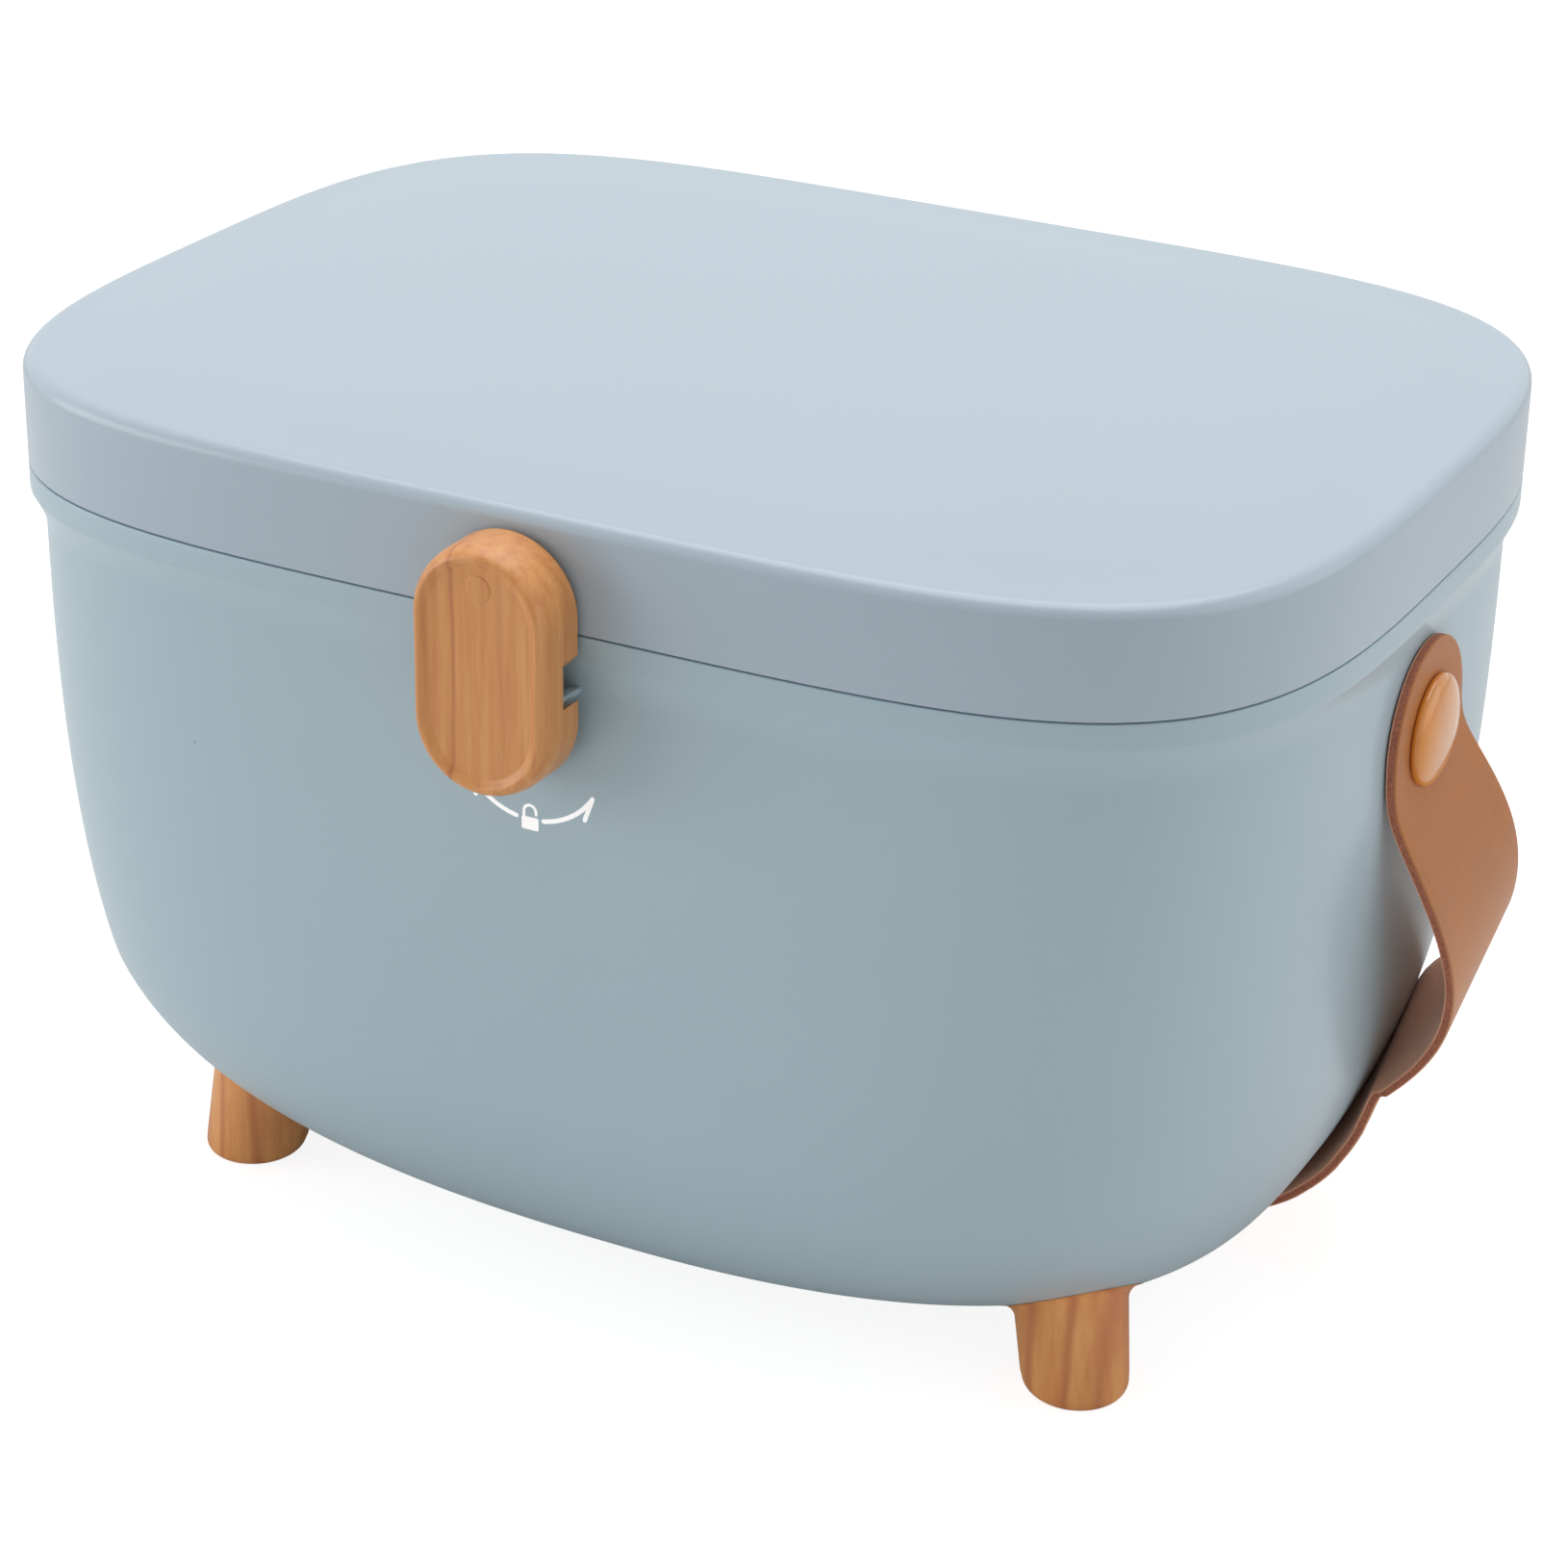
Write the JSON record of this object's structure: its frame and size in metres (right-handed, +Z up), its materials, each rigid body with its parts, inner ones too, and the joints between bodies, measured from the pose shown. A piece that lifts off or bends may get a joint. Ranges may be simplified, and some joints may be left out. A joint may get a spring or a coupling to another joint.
{
  "type": "medicine box",
  "caption": "Oval-cornered household medicine box on splayed feet, with a hinged lid, a turning latch knob, a slack carry strap and a lift-out tray.",
  "frame": {"origin": "middle of the box's footprint, on the table that its four feet stand on", "axes": "+X along the width to the right seen from the front, +Y to the back where the hinges are, +Z up"},
  "size_m": [0.3286, 0.2462, 0.1977],
  "materials": {
    "tub_plastic": "satin moulded plastic, grey blue",
    "lid_plastic": "satin moulded plastic, pale grey blue",
    "wood_look": "wood-look plastic with fine streaks",
    "wood_look_feet": "wood-look plastic with brown grain",
    "wood_look_buttons": "glossy wood-look plastic",
    "leather": "brown grained leather-like strap with raw edges",
    "steel": "plain zinc-plated steel",
    "tray_plastic": "satin moulded plastic, off white"
  },
  "bodies": {
    "box": {"body_shell": "tub_plastic", "hinge_pin_left": "steel", "hinge_pin_right": "steel", "foot_front_left": "wood_look_feet", "foot_front_right": "wood_look_feet", "foot_rear_left": "wood_look_feet", "foot_rear_right": "wood_look_feet", "foot_screws": "steel", "strap": "leather", "strap_button_left": "wood_look_buttons", "strap_button_right": "wood_look_buttons", "strap_screw_left": "steel", "strap_screw_right": "steel", "strap_washer_left": "steel", "strap_washer_right": "steel"},
    "lid": {"lid": "lid_plastic"},
    "latch": {"latch_knob": "wood_look", "latch_pivot_screw": "steel", "latch_washer": "steel"},
    "tray": {"tray": "tray_plastic"}
  },
  "joints": [
    {"name": "lid_hinge", "type": "hinge", "parent": "box", "child": "lid", "pos_m": [0, 0.1168, 0.1735], "axis": [-1, 0, 0], "range_deg": [0, 100]},
    {"name": "latch_swing", "type": "hinge", "parent": "lid", "child": "latch", "pos_m": [0, -0.1122, 0.182], "axis": [0, 1, 0], "range_deg": [-90, 90]},
    {"name": "tray_lift", "type": "slide", "parent": "box", "child": "tray", "axis": [0, 0, 1], "range_m": [0, 0.022]}
  ]
}
